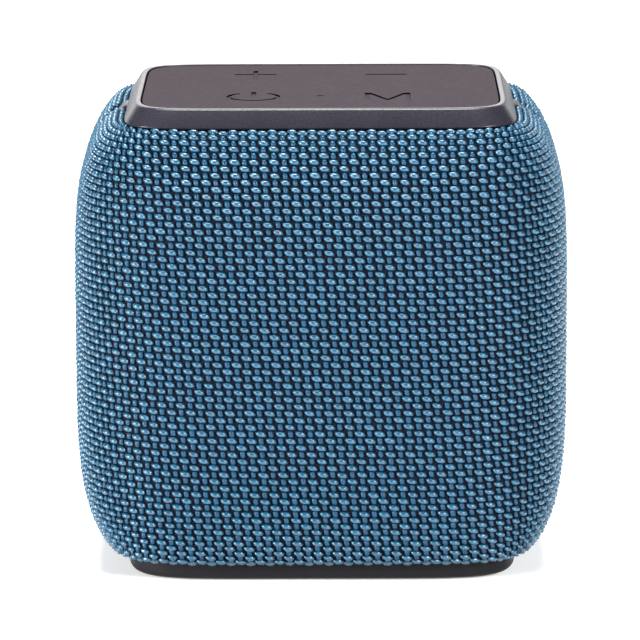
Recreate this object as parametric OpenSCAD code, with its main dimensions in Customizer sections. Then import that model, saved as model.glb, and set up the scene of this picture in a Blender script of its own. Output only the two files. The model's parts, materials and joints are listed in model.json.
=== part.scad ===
// Portable bluetooth speaker: a fabric-covered rounded block with a touch-size key panel on top.
// X is across, -Y is the front, Z is up. The origin is at the middle of the footprint, on the table.

/* [Body] */
// Width over the fabric
body_w = 92.2; // [88:0.1:98]
// Depth over the fabric
body_d = 80.4; // [78:0.1:84]
// Height from the table to the rim round the key panel
body_h = 88.6; // [88:0.1:90]
// Height of the widest section
belly_z = 43.5; // [42.5:0.5:44.5]
// Squareness of the plan outline
corner_power = 3.8; // [3.4:0.1:4.2]
// Squareness of the side profile above the widest section
shoulder_power = 4.75; // [4.5:0.05:5]
// Squareness of the side profile below the widest section
foot_power = 4.5; // [4.2:0.05:4.8]

/* [Top] */
// Width of the key panel
panel_w = 66.5; // [64:0.1:68]
// Depth of the key panel
panel_d = 54.7; // [53:0.1:56]
// Flat rim around the panel
rim_w = 1.2; // [0.8:0.1:1.6]
// Visible height of the sloping bezel
bezel_h = 3.5; // [3:0.1:4]
// How far the bezel slopes outwards
bezel_out = 2; // [1.5:0.1:2.5]
// Size of a key zone, across and deep
key_size = 18; // [15:0.5:20]
// Distance of the key columns from the middle
key_x = 12.5; // [11:0.5:13]
// Travel of a key
key_travel = 0.3; // [0.2:0.05:0.4]

/* [Base] */
// Width of the base
base_w = 72.8; // [70:0.1:74]
// Depth of the base
base_d = 61; // [58:0.1:63]

/* [Sound] */
// Outer diameter of the driver's flange
driver_d = 50; // [46:1:50]
// Height of the driver and radiator axis
driver_z = 52.5; // [52:0.5:54]
// Outer diameter of the passive radiator
radiator_d = 44; // [40:1:46]

/* [Power] */
// Diameter of the battery cell
cell_d = 18.2; // [18:0.1:18.5]
// Length of the battery cell
cell_l = 65; // [60:1:66]

/* [Hidden] */
$fn = 48;

ROUND_PTS = 64;           // points round an outline
WALL_RINGS = 18;          // rings up a lofted wall
SHOULDER_H = 46.8;        // belly to where the profile would close above it
FOOT_H = 45.9;            // and below it
POWER_GROWTH = 0.27;      // how the outline squares up as it shrinks, per mm
FABRIC_T = 0.9;
GAP = 0.15;

half_w = body_w / 2;
half_d = body_d / 2;
fabric_top = body_h - bezel_h - 0.1;
fabric_low = 3.5;
panel_power = 8.5;
rim_power = 7.5;
bezel_power = 6.3;
base_power = 6.2;
frame_gap = 0.25;
frame_t = 1.8;
pad_t = 2.2;              // thickness of the silicone key pad
pad_z = body_h - 0.15;    // its top, a little below the rim
key_r = 3;
key_back_y = 14.1;
key_front_y = -12.6;
board_z = 80;             // underside of the control board
board_t = 1.2;
switch_h = 1.8;
switch_w = 6;
plunger_r = 1.5;
cab_w = 70;
cab_front_y = -31;
cab_rear_y = 29;
cab_low = 27;
cab_top = 78;
cab_wall = 2.2;
driver_r = driver_d / 2;
radiator_r = radiator_d / 2;
chassis_low = 6.7;
chassis_top = 26.8;
cell_y = -15;
cell_z = 14.6;
main_z = 13;              // underside of the main board
port_z = 17.4;            // height of the port centres
port_w = 34;
port_h = 11;
port_y = 39.2;            // outer face of the closed flap
flap_t = 1.2;
base_floor_z = 2.2;
base_screw_z = 2.5;       // seat of the base screws' heads
base_wall_z = 5.8;        // top of the base's wall, inside the sleeve
hinge_z = port_z - port_h / 2 + 0.7;
hinge_y = port_y - flap_t / 2;
lug_w = 4;                // lanyard bar
lug_x = panel_w / 2 + rim_w + bezel_out - 0.6;
lug_z = body_h - bezel_h - 3.5;
ribbon_x = -19;
ribbon_z = 21.1;
usb_x = -7;
jack_x = 7;
screw_r = 1;

// ---------- outlines and lofts ----------

function sign_of(v) = v < 0 ? -1 : 1;

// Superellipse outline with half-sizes a and b
function outline(a, b, power) = [
    for (i = [0 : ROUND_PTS - 1])
        let (t = 360 * (i + 0.5) / ROUND_PTS, c = cos(t), s = sin(t))
        [a * sign_of(c) * pow(abs(c), 2 / power), b * sign_of(s) * pow(abs(s), 2 / power)]
];

// How far the fabric's outline lies inside its widest section at height z
function inset_at(z) =
    let (
        up = z > belly_z,
        power = up ? shoulder_power : foot_power,
        reach = abs(z - belly_z) / (up ? SHOULDER_H : FOOT_H)
    )
    half_w * (1 - pow(1 - pow(reach, power), 1 / power));

// Outline points of the body at an inset, at height z
function ring(inset, z) = [
    for (p = outline(half_w - inset, half_d - inset, corner_power + POWER_GROWTH * inset))
        [p[0], p[1], z]
];

// Outline points of a plain superellipse at height z
function flat_ring(a, b, power, z) = [for (p = outline(a, b, power)) [p[0], p[1], z]];

// Heights from z1 to z0, closer together near both ends
function wall_heights(z0, z1) = [
    for (i = [0 : WALL_RINGS]) (z0 + z1) / 2 + (z1 - z0) / 2 * cos(180 * i / WALL_RINGS)
];

function flatten(lists) = [for (l = lists) for (p = l) p];

function side_faces(count, closed) = [
    for (r = [0 : count - (closed ? 1 : 2)], i = [0 : ROUND_PTS - 1])
        let (n = (i + 1) % ROUND_PTS, a = r * ROUND_PTS, b = ((r + 1) % count) * ROUND_PTS)
        each [[a + i, b + n, b + i], [a + i, a + n, b + n]]
];

// Rings joined in a closed loop, as a hollow sleeve
module ring_loop(rings) {
    polyhedron(flatten(rings), side_faces(len(rings), true), convexity = 6);
}

// Rings stacked from the top down, capped at both ends
module ring_stack(rings) {
    last = (len(rings) - 1) * ROUND_PTS;
    top_cap = [for (i = [1 : ROUND_PTS - 2]) [0, i + 1, i]];
    low_cap = [for (i = [1 : ROUND_PTS - 2]) [last, last + i, last + i + 1]];
    polyhedron(
        flatten(rings), concat(side_faces(len(rings), false), top_cap, low_cap), convexity = 4
    );
}

// A shell of the body's shape between two insets
module body_shell(outer, inner, z0, z1) {
    heights = wall_heights(z0, z1);
    ring_loop(concat(
        [for (z = heights) ring(inset_at(z) + outer, z)],
        [for (i = [WALL_RINGS : -1 : 0]) ring(inset_at(heights[i]) + inner, heights[i])]
    ));
}

module outline_plate(w, d, power, z, h) {
    translate([0, 0, z]) linear_extrude(h) polygon(outline(w / 2, d / 2, power));
}

module round_rect(w, d, r) {
    square([w - 2 * r, d], center = true);
    square([w, d - 2 * r], center = true);
    for (x = [-1, 1], y = [-1, 1]) translate([x * (w / 2 - r), y * (d / 2 - r)]) circle(r);
}

module block(size, at) {
    translate(at) cube(size, center = true);
}

// A round tube swept along points, for leads
function unit(v) = v / norm(v);
function tangent(path, i) = unit(path[min(i + 1, len(path) - 1)] - path[max(i - 1, 0)]);
module lead(path, r, up) {
    sides = 8;
    points = [
        for (i = [0 : len(path) - 1], k = [0 : sides - 1])
            let (t = tangent(path, i), u = unit(cross(t, up)), v = cross(t, u), a = 360 * k / sides)
            path[i] + r * (cos(a) * u + sin(a) * v)
    ];
    walls = [
        for (i = [0 : len(path) - 2], k = [0 : sides - 1])
            let (n = (k + 1) % sides, a = i * sides, b = a + sides)
            each [[a + k, a + n, b + n], [a + k, b + n, b + k]]
    ];
    last = (len(path) - 1) * sides;
    caps = [[for (k = [sides - 1 : -1 : 0]) k], [for (k = [0 : sides - 1]) last + k]];
    polyhedron(points, [for (f = concat(walls, caps)) [for (i = [len(f) - 1 : -1 : 0]) f[i]]]);
}

// Things on the driver's axis: local +Z faces the front
module at_driver() {
    translate([0, cab_front_y, driver_z]) rotate([90, 0, 0]) children();
}

// Things on the radiator's axis: local +Z faces the rear
module at_radiator() {
    translate([0, cab_rear_y, driver_z]) rotate([-90, 0, 0]) children();
}

// Places of the screws that hold the base, the chassis and the main board together
module at_base_screws(z) {
    for (x = [-28, 28], y = [-1.5, 23]) translate([x, y, z]) children();
}

// Places of the control board's screws
module at_board_screws(z) {
    for (x = [-28, 28], y = [-19.5, 19.5]) translate([x, y, z]) children();
}

// Places of the driver's screws: local +Z faces the front
module at_driver_screws(z) {
    at_driver() for (a = [45 : 90 : 315]) rotate(a) translate([driver_r - 2, 0, z]) children();
}

module ring_solid(r_out, r_in, z, h) {
    translate([0, 0, z]) difference() {
        cylinder(h = h, r = r_out);
        translate([0, 0, -1]) cylinder(h = h + 2, r = r_in);
    }
}

// ---------- sleeve ----------

// Woven sleeve: turned under at the bezel and at the base
module fabric_sleeve() {
    heights = wall_heights(fabric_low, fabric_top);
    top_edge = half_w - (panel_w / 2 + rim_w + bezel_out) - GAP;
    low_edge = half_w - base_w / 2 - GAP;
    color("#3f6a8c") difference() {
        ring_loop(concat(
            [ring(top_edge, fabric_top - 0.1)],
            [for (z = heights) ring(inset_at(z), z)],
            [ring(low_edge, fabric_low - 0.1)],
            [ring(low_edge, fabric_low + 0.8)],
            [for (i = [WALL_RINGS - 2 : -1 : 2]) ring(inset_at(heights[i]) + FABRIC_T, heights[i])],
            [ring(top_edge, fabric_top - 0.9)]
        ));
        port_cut(0);
        for (side = [-1, 1]) strap_hole(side, 0);
    }
}

// Opening at the shoulder for a lanyard bar
module strap_hole(side, margin) {
    block([5, lug_w + 1.6 + margin, 8], [side * (lug_x + 2.4), 0, lug_z + 1]);
}

module port_cut(margin) {
    translate([0, half_d, port_z]) rotate([90, 0, 0]) linear_extrude(12, center = true)
        round_rect(port_w + 5 + margin, port_h + 5 + margin, 4);
}

// Horizontal sound slots that fill a circle
module sound_slots(r) {
    pitch = 4.4;
    slot_h = 2.4;
    rows = floor((r - 1) / pitch);
    for (k = [-rows : rows])
        block([2 * sqrt(r * r - pow(k * pitch, 2)), 20, slot_h], [0, 0, driver_z + k * pitch]);
}

module sleeve_frame() {
    body_shell(
        FABRIC_T + frame_gap, FABRIC_T + frame_gap + frame_t, fabric_low + 3.2, fabric_top - 2.9
    );
}

module half_space(side) {
    block([200, 100, 200], [0, side * 50.05, 60]);
}

module sleeve_frame_front() {
    color("#26272b") difference() {
        intersection() {
            sleeve_frame();
            half_space(-1);
        }
        translate([0, -half_d, 0]) sound_slots(24);
        for (side = [-1, 1]) strap_hole(side, 0.4);
    }
}

module sleeve_frame_rear() {
    color("#26272b") difference() {
        intersection() {
            sleeve_frame();
            half_space(1);
        }
        translate([0, half_d, 0]) sound_slots(19);
        port_cut(-0.6);
        for (side = [-1, 1]) strap_hole(side, 0.4);
    }
}

// ---------- top ----------

module top_bezel() {
    rim_a = panel_w / 2 + rim_w;
    rim_b = panel_d / 2 + rim_w;
    foot_a = rim_a + bezel_out;
    foot_b = rim_b + bezel_out;
    skirt = 1.6;
    flange_z = fabric_top - 1.5;
    boss_z = board_z + board_t;
    color("#38383d") difference() {
        union() {
            difference() {
                ring_stack([
                    flat_ring(rim_a - 0.1, rim_b - 0.1, rim_power, body_h),
                    flat_ring(rim_a + 0.3, rim_b + 0.3, rim_power, body_h - 0.3),
                    flat_ring(foot_a, foot_b, bezel_power, body_h - bezel_h + 0.2),
                    flat_ring(foot_a - 0.3, foot_b - 0.3, bezel_power, body_h - bezel_h),
                    flat_ring(foot_a - skirt, foot_b - skirt, bezel_power, body_h - bezel_h - 0.01),
                    flat_ring(foot_a - skirt, foot_b - skirt, bezel_power, flange_z + 0.1),
                    flat_ring(foot_a + 0.3, foot_b + 0.3, bezel_power, flange_z),
                    flat_ring(foot_a + 0.3, foot_b + 0.3, bezel_power, flange_z - 1.4),
                    flat_ring(foot_a - skirt, foot_b - skirt, bezel_power, flange_z - 1.5),
                    flat_ring(foot_a - skirt, foot_b - skirt, bezel_power, board_z - 1)
                ]);
                outline_plate(panel_w - 3.4, panel_d - 3.4, panel_power, board_z - 2, 6);
            }
            at_board_screws(boss_z) cylinder(h = 5, r = 2.2);
        }
        outline_plate(panel_w + 2 * GAP, panel_d + 2 * GAP, panel_power, pad_z - pad_t, 5);
        outline_plate(panel_w - 10, panel_d - 8, panel_power, boss_z + 2.6, 5);
        for (side = [-1, 1]) block([5.4, lug_w + 0.2, 8.5], [side * (lug_x + 1.25), 0, lug_z - 0.6]);
        at_board_screws(boss_z - 0.1) cylinder(h = 2.4, r = screw_r);
    }
}

function key_places() = [
    ["power", -key_x, key_front_y], ["mode", key_x, key_front_y],
    ["volume_up", -key_x, key_back_y], ["volume_down", key_x, key_back_y]
];
function place_of(name) = [for (k = key_places()) if (k[0] == name) [k[1], k[2]]][0];

module key_panel() {
    color("#3c3c42") difference() {
        outline_plate(panel_w, panel_d, panel_power, pad_z - pad_t, pad_t);
        for (k = key_places())
            translate([k[1], k[2], pad_z - pad_t - 1]) linear_extrude(pad_t + 2)
                round_rect(key_size + GAP, key_size + GAP, key_r + GAP / 2);
        translate([0, key_front_y + 0.8, pad_z - pad_t - 1]) cylinder(h = pad_t + 2, r = 0.72);
    }
}

// A key zone of the pad with the post that presses its switch
module key(name) {
    post_r = 2;
    at = place_of(name);
    post_low = board_z + board_t + switch_h + 0.55;
    color("#3c3c42") translate([at[0], at[1], 0]) difference() {
        union() {
            translate([0, 0, pad_z - pad_t]) linear_extrude(pad_t)
                round_rect(key_size - GAP, key_size - GAP, key_r);
            translate([0, 0, post_low]) cylinder(h = pad_z - pad_t - post_low + 0.1, r = post_r);
        }
        translate([0, 0, pad_z - 0.3]) linear_extrude(1) children();
    }
}

module power_mark() {
    difference() {
        circle(5);
        circle(4.2);
        translate([0, 5]) square([5.6, 4.6], center = true);
    }
    translate([0, 2.9]) square([0.95, 5.4], center = true);
}

module minus_mark() {
    square([7.85, 0.95], center = true);
}

module plus_mark() {
    minus_mark();
    square([0.95, 7.85], center = true);
}

module mode_mark() {
    stroke = 0.95;
    for (side = [-1, 1]) {
        translate([side * (4.25 - stroke / 2), 0]) square([stroke, 8.6], center = true);
        polygon([
            [side * 4.25, 4.3], [side * 3, 4.3], [0, -3.3], [0, -4.9]
        ]);
    }
}

module power_key() {
    key("power") power_mark();
}

module mode_key() {
    key("mode") mode_mark();
}

module volume_up_key() {
    key("volume_up") plus_mark();
}

module volume_down_key() {
    key("volume_down") minus_mark();
}

module led_light_pipe() {
    top = pad_z - 0.05;
    low = board_z + board_t + 1.1;
    color("#9aa0a8") translate([0, key_front_y + 0.8, low]) cylinder(h = top - low, r = 0.6);
}

// Lanyard bar: it arches from under the bezel out over a hole in the fabric and down again
module strap_lug(side) {
    r_out = 3.6;
    r_in = 2.2;
    foot_h = 2.4;
    color("#38383d") translate([side * lug_x, 0, lug_z]) rotate([90, 0, 0])
        linear_extrude(lug_w, center = true) {
            difference() {
                circle(r_out);
                circle(r_in);
                translate([-10, -20]) square(20);
                translate([side > 0 ? -20 : 0, -1]) square(20);
            }
            translate([side > 0 ? r_in : -r_out, -foot_h]) square([r_out - r_in, foot_h + 0.01]);
            translate([side > 0 ? -1.4 : -0.01, r_in]) square([1.41, r_out - r_in]);
        }
}

module control_board() {
    color("#1f5b3a") difference() {
        translate([0, 0, board_z]) linear_extrude(board_t) round_rect(61, 46, 6);
        at_board_screws(board_z - 1) cylinder(h = 4, r = screw_r + 0.2);
    }
}

module status_led() {
    color("white") block([1.6, 0.8, 0.7], [0, key_front_y + 0.8, board_z + board_t + 0.35]);
}

module microphone() {
    color("silver") block([3, 4, 1.1], [0, key_back_y, board_z + board_t + 0.55]);
}

module tact_switch(name) {
    at = place_of(name);
    z = board_z + board_t;
    color("#17181a") difference() {
        translate([at[0], at[1], z]) linear_extrude(switch_h) round_rect(switch_w, switch_w, 0.4);
        translate([at[0], at[1], z + 0.3]) cylinder(h = 4, r = plunger_r + 0.06);
    }
}

module plunger(name) {
    at = place_of(name);
    z = board_z + board_t + 0.3 + key_travel + 0.2;
    color("#b9b4a6") translate([at[0], at[1], z])
        cylinder(h = board_z + board_t + switch_h + 0.5 - z, r = plunger_r);
}

// ---------- cabinet ----------

module cabinet_box(grow, y0, y1) {
    h = cab_top - cab_low + 2 * grow;
    translate([0, (y0 + y1) / 2, (cab_low + cab_top) / 2]) rotate([90, 0, 0])
        linear_extrude(y1 - y0, center = true) round_rect(cab_w + 2 * grow, h, 6);
}

module cabinet_front() {
    color("#2b2c30") difference() {
        cabinet_box(0, cab_front_y, -0.4);
        cabinet_box(-cab_wall, cab_front_y + cab_wall + 0.8, 1);
        at_driver() translate([0, 0, -10]) cylinder(h = 20, r = driver_r - 3.6);
        at_driver_screws(-4) cylinder(h = 8, r = screw_r);
    }
}

module cabinet_rear() {
    color("#2b2c30") difference() {
        cabinet_box(0, 0.4, cab_rear_y);
        cabinet_box(-cab_wall, -1, cab_rear_y - cab_wall);
        at_radiator() translate([0, 0, -6]) cylinder(h = 12, r = radiator_r - 4.6);
        translate([16, 8, cab_low - 1]) cylinder(h = 6, r = 2.6);
    }
}

module cabinet_gasket() {
    color("#111214") difference() {
        cabinet_box(-0.2, -0.35, 0.35);
        cabinet_box(-cab_wall + 0.2, -1, 1);
    }
}

// ---------- driver ----------

module driver_gasket() {
    color("#151515") difference() {
        at_driver() ring_solid(driver_r - 0.4, driver_r - 3.4, 0.02, 0.56);
        at_driver_screws(-1) cylinder(h = 3, r = screw_r + 0.2);
    }
}

module driver_basket() {
    color("#30333a") difference() {
        at_driver() rotate_extrude() polygon([
            [driver_r - 4.4, 0.6], [driver_r, 0.6], [driver_r, 1.6], [driver_r - 5.2, 1.6],
            [driver_r - 5.2, -1.2], [12.2, -13], [6.8, -13], [6.8, -14], [13, -14],
            [driver_r - 4.4, -1.4]
        ]);
        at_driver_screws(-1) cylinder(h = 4, r = screw_r + 0.2);
        at_driver() for (a = [0 : 90 : 270])
            rotate(a) translate([16.5, 0, -7]) cube([9, 13, 8], center = true);
    }
}

module driver_top_plate() {
    color("#8a8d92") at_driver() ring_solid(14, 6.7, -16.98, 2.96);
}

module driver_magnet() {
    color("#3a3a3c") at_driver() ring_solid(15, 8.5, -25, 8);
}

module driver_yoke() {
    color("#8a8d92") at_driver() {
        translate([0, 0, -28]) cylinder(h = 2.98, r = 14);
        translate([0, 0, -25.1]) cylinder(h = 10.9, r = 5.5);
    }
}

module driver_voice_coil() {
    color("#b87333") at_driver() {
        ring_solid(6.1, 5.85, -19, 11.2);
        ring_solid(6.4, 6.1, -17.6, 4.2);
    }
}

// Corrugated centring disc, glued to the basket and the coil
module driver_spider() {
    waves = 3;
    step = 6.2 / (waves * 8);
    wave = [for (i = [0 : waves * 8]) [6.45 + i * step, 0.5 * sin(360 * i / 8) - 10.4]];
    color("#c9b27a") at_driver() rotate_extrude() polygon(concat(
        wave, [for (i = [len(wave) - 1 : -1 : 0]) wave[i] + [0, 0.35]]
    ));
}

module driver_cone() {
    color("#202022") at_driver() rotate_extrude() polygon([
        [6.12, -8.2], [driver_r - 9, -1.6], [driver_r - 8, -1.6], [driver_r - 8, -1.1],
        [driver_r - 9.2, -1.1], [6.12, -7.5]
    ]);
}

module half_roll(r0, r1, z, t) {
    mid = (r0 + r1) / 2;
    roll = (r1 - r0) / 2 - 0.8;
    rotate_extrude() {
        translate([mid, z]) difference() {
            circle(roll);
            circle(roll - t);
            translate([-10, -20]) square(20);
        }
        translate([r0, z]) square([0.8 + t, t]);
        translate([r1 - 0.8 - t, z]) square([0.8 + t, t]);
    }
}

module driver_surround() {
    color("#141414") at_driver() half_roll(driver_r - 7.95, driver_r - 5.25, -1, 0.4);
}

module driver_dust_cap() {
    cap_r = 6.8;
    color("#1a1a1c") at_driver() translate([0, 0, -6.95]) difference() {
        translate([0, 0, -7]) sphere(10);
        translate([0, 0, -7]) sphere(9.5);
        translate([0, 0, -10.2]) cube(20.4, center = true);
        ring_solid(12, cap_r, -4, 12);
    }
}

module driver_terminals() {
    color("#d8c27a") at_driver() for (x = [-3, 3])
        translate([x, -15.6, -12.4]) cube([2, 0.8, 6], center = true);
}

// ---------- passive radiator ----------

module radiator_frame() {
    color("#2b2c30") at_radiator() ring_solid(radiator_r, radiator_r - 4.4, 0.02, 1.5);
}

module radiator_surround() {
    color("#141414") at_radiator() half_roll(radiator_r - 9.4, radiator_r - 4.5, 0.4, 0.5);
}

module radiator_plate() {
    color("#5a5d63") at_radiator() {
        translate([0, 0, -0.4]) cylinder(h = 1.4, r = radiator_r - 9.5);
        translate([0, 0, -2.4]) cylinder(h = 2.1, r = 8);
    }
}

// ---------- electronics bay ----------

module chassis() {
    w = 73;
    d = 56;
    wall = 2;
    color("#2b2c30") difference() {
        union() {
            difference() {
                translate([0, 0, chassis_low]) linear_extrude(chassis_top - chassis_low)
                    round_rect(w, d, 7);
                translate([0, 0, chassis_low - 1]) linear_extrude(chassis_top - chassis_low - 1)
                    round_rect(w - 2 * wall, d - 2 * wall, 5);
            }
            at_base_screws(chassis_low + 0.1) cylinder(h = main_z - chassis_low - 0.1, r = 2.6);
            for (x = [-32, 32], y = [-1.5, 23]) block([8, 1.6, 6], [x, y, main_z - 3.1]);
        }
        block([port_w + 6, 12, port_h + 5], [0, d / 2, port_z]);
        block([9, 12, 3], [ribbon_x, d / 2, ribbon_z]);
        translate([16, 8, chassis_top - 4]) cylinder(h = 8, r = 2.6);
        at_base_screws(chassis_low - 1) cylinder(h = 20, r = screw_r);
    }
}

module battery_cell() {
    cap_l = 1.2;
    color("#2f6fb0") translate([0, cell_y, cell_z]) rotate([0, 90, 0]) {
        cylinder(h = cell_l - cap_l, r = cell_d / 2, center = true);
        translate([0, 0, cell_l / 2 - cap_l]) cylinder(h = cap_l, r = 3.2);
    }
}

module battery_pads() {
    color("#45474c") for (x = [-22, 22])
        block([10, 16, 3.2], [x, cell_y, base_floor_z + 1.61]);
}

module main_board() {
    color("#1f5b3a") difference() {
        translate([0, 11, main_z]) linear_extrude(board_t) round_rect(60, 29.6, 2);
        at_base_screws(main_z - 1) cylinder(h = 4, r = screw_r + 0.2);
    }
}

module board_chips() {
    color("#1b1c1f") {
        block([7, 7, 1], [-10, 8, main_z + board_t + 0.5]);
        block([5, 6, 1.5], [8, 4, main_z + board_t + 0.75]);
        block([4, 4, 0.9], [24, 12, main_z + board_t + 0.45]);
    }
}

module board_capacitors() {
    color("#8e9299") for (x = [-22, -15, 24])
        translate([x, x > 0 ? 4 : 1, main_z + board_t]) cylinder(h = 7, r = 2.5);
}

module bluetooth_module() {
    color("#b9bcc2") block([12, 9, 2], [-21, 16, main_z + board_t + 1]);
}

module usb_socket() {
    mouth_y = 36.4;
    length = 9.4;
    color("#b9bcc2") translate([usb_x, mouth_y, port_z]) rotate([90, 0, 0]) difference() {
        linear_extrude(length) round_rect(8.9, 3.2, 1.4);
        translate([0, 0, -0.01]) linear_extrude(length - 1.5) difference() {
            round_rect(8.3, 2.6, 1.2);
            square([6.6, 0.7], center = true);
        }
    }
}

module audio_jack() {
    mouth_y = 36.4;
    bore_r = 1.75;
    color("#17181a") translate([jack_x, mouth_y, port_z]) rotate([90, 0, 0]) difference() {
        union() {
            cylinder(h = 2.4, r = 2.9);
            translate([0, 0, 8.4]) cube([6.4, 5, 12], center = true);
        }
        translate([0, 0, -0.01]) cylinder(h = 13, r = bore_r);
    }
}

module lead_connectors() {
    color("#e8e2d0") {
        block([6, 4.5, 5], [14, -0.2, main_z + board_t + 2.5]);
        block([6, 4.5, 5], [2, -0.9, main_z + board_t + 2.5]);
        block([14, 3, 1.8], [ribbon_x, 22.4, main_z + board_t + 0.9]);
        block([14, 3, 1.8], [ribbon_x, 20.9, board_z - 0.9]);
    }
}

module speaker_leads() {
    for (side = [0, 1]) color(side == 0 ? "#b02a2a" : "#1c1c1c") {
        x = side * 2 + 13;
        lead([
            [6 * side - 3, -18.6, 35.8], [6 * side - 3, -18.6, 33.5], [x - 8, -14, 31.4],
            [x - 2, -4, 30.4], [x + 1, 5, 30.2], [x + 2, 8, 28.6], [x + 2, 8, 25],
            [x + 1.6, 5, 22.6], [x, 1.5, 21.4], [x, 0.2, 20], [x, -0.2, 19.3]
        ], 0.45, [1, 0.3, 0]);
    }
}

module battery_leads() {
    for (side = [0, 1]) color(side == 0 ? "#b02a2a" : "#1c1c1c") {
        x = side * 2 + 1;
        end_x = side == 0 ? -32.5 : 33.1;
        lead([
            [x, -0.9, 19.3], [x, -1, 20.6], [x + (end_x > 0 ? 3 : -3), -2.4, 22.4],
            [end_x * 0.5, -4.8, 23.9], [end_x * 0.9, -6.2, 23.7],
            [end_x, -7, 22], [end_x, -10, 18.6], [end_x, -13.4, 15.6]
        ], 0.5, [0, 1, 0.15]);
    }
}

// Flat cable from the main board up the rear of the cabinet to the control board
module ribbon_cable() {
    t = 0.4;
    w = 8;
    rear_y = 31.5;
    up_y = 22.4;
    top_z = board_z - 1.5;
    plug_z = main_z + board_t + 1.8;
    color("#d7d9dc") {
        block([w, t, ribbon_z - plug_z + t / 2], [ribbon_x, up_y, (ribbon_z + plug_z + t / 2) / 2]);
        block([w, rear_y - up_y + t, t], [ribbon_x, (rear_y + up_y) / 2, ribbon_z]);
        block([w, t, top_z - ribbon_z + t], [ribbon_x, rear_y, (top_z + ribbon_z) / 2]);
        block([w, rear_y - up_y + t / 2, t], [ribbon_x, (rear_y + up_y + t / 2) / 2, top_z]);
    }
}

// ---------- ports ----------

module port_plate() {
    color("#2b2c30") difference() {
        union() {
            translate([0, 38.4, port_z]) rotate([90, 0, 0]) linear_extrude(2.8, center = true)
                round_rect(port_w + 3.6, port_h + 3.6, 3);
            translate([0, 36.2, port_z]) rotate([90, 0, 0]) linear_extrude(1.6, center = true)
                round_rect(port_w + 2, port_h + 2, 3);
        }
        translate([0, 39.2, port_z]) rotate([90, 0, 0]) linear_extrude(2.8, center = true)
            round_rect(port_w + 0.6, port_h + 0.6, 1);
        translate([usb_x, 36, port_z]) rotate([90, 0, 0]) linear_extrude(8, center = true)
            round_rect(9.6, 3.9, 1.6);
        translate([jack_x, 36, port_z]) rotate([90, 0, 0]) cylinder(h = 8, r = 3.2, center = true);
    }
}

// Rubber cover that swings down on its lower edge
module port_flap() {
    barrel_r = flap_t / 2;
    color("#202124") {
        translate([0, hinge_y, (port_z + port_h / 2 + hinge_z) / 2]) rotate([90, 0, 0])
            linear_extrude(flap_t, center = true)
                round_rect(port_w, port_z + port_h / 2 - hinge_z, barrel_r / 2);
        translate([0, hinge_y, hinge_z]) rotate([0, 90, 0])
            cylinder(h = port_w, r = barrel_r, center = true);
    }
}

// ---------- base ----------

module base_cover() {
    a = base_w / 2;
    b = base_d / 2;
    wall = 2;
    flange_power = 4.6;
    flange_in = 6.5;
    color("#2b2b2f") difference() {
        union() {
            ring_stack([
                flat_ring(a, b, base_power, base_wall_z),
                flat_ring(a, b, base_power, 1.5),
                flat_ring(a - 0.5, b - 0.5, base_power, 0.7),
                flat_ring(a - 1.5, b - 1.5, base_power, 0.25)
            ]);
            outline_plate(
                body_w - 2 * flange_in, body_d - 2 * flange_in, flange_power, base_wall_z - 0.05, 0.85
            );
        }
        difference() {
            outline_plate(base_w - 2 * wall, base_d - 2 * wall, base_power, base_floor_z, 5);
            at_base_screws(0) cylinder(h = chassis_low - 0.1, r = 3.4);
        }
        ring_pocket();
        at_base_screws(0) cylinder(h = 9, r = screw_r + 0.2);
        at_base_screws(-1) cylinder(h = base_screw_z + 1, r = 2.2);
    }
}

module ring_pocket() {
    translate([0, 0, -0.5]) linear_extrude(1.5) difference() {
        round_rect(52, 42, 10);
        round_rect(42, 32, 6);
    }
}

module foot_ring() {
    color("#161618") linear_extrude(0.99) difference() {
        round_rect(51.8, 41.8, 9.9);
        round_rect(42.2, 32.2, 6.1);
    }
}

// ---------- fasteners ----------

module screw(length) {
    translate([0, 0, -0.5]) cylinder(h = length + 0.5, r = screw_r - 0.05);
    translate([0, 0, -1]) cylinder(h = 1, r = 1.9);
}

module assembly_screws() {
    color("silver") {
        at_base_screws(base_screw_z) screw(8);
        at_board_screws(board_z) screw(3);
        at_driver_screws(1.62) rotate([180, 0, 0]) screw(3.4);
    }
}

fabric_sleeve();
sleeve_frame_front();
sleeve_frame_rear();
top_bezel();
key_panel();
power_key();
mode_key();
volume_up_key();
volume_down_key();
led_light_pipe();
strap_lug(-1);  // strap_lug_left
strap_lug(1);  // strap_lug_right
control_board();
status_led();
microphone();
tact_switch("power");  // power_switch
tact_switch("mode");  // mode_switch
tact_switch("volume_up");  // volume_up_switch
tact_switch("volume_down");  // volume_down_switch
plunger("power");  // power_plunger
plunger("mode");  // mode_plunger
plunger("volume_up");  // volume_up_plunger
plunger("volume_down");  // volume_down_plunger
cabinet_front();
cabinet_rear();
cabinet_gasket();
driver_gasket();
driver_basket();
driver_top_plate();
driver_magnet();
driver_yoke();
driver_voice_coil();
driver_spider();
driver_cone();
driver_surround();
driver_dust_cap();
driver_terminals();
radiator_frame();
radiator_surround();
radiator_plate();
chassis();
battery_cell();
battery_pads();
main_board();
board_chips();
board_capacitors();
bluetooth_module();
usb_socket();
audio_jack();
lead_connectors();
speaker_leads();
battery_leads();
ribbon_cable();
port_plate();
port_flap();
base_cover();
foot_ring();
assembly_screws();
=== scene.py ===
import json
import math

import bmesh
import bpy
import numpy as np
from mathutils import Matrix


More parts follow.
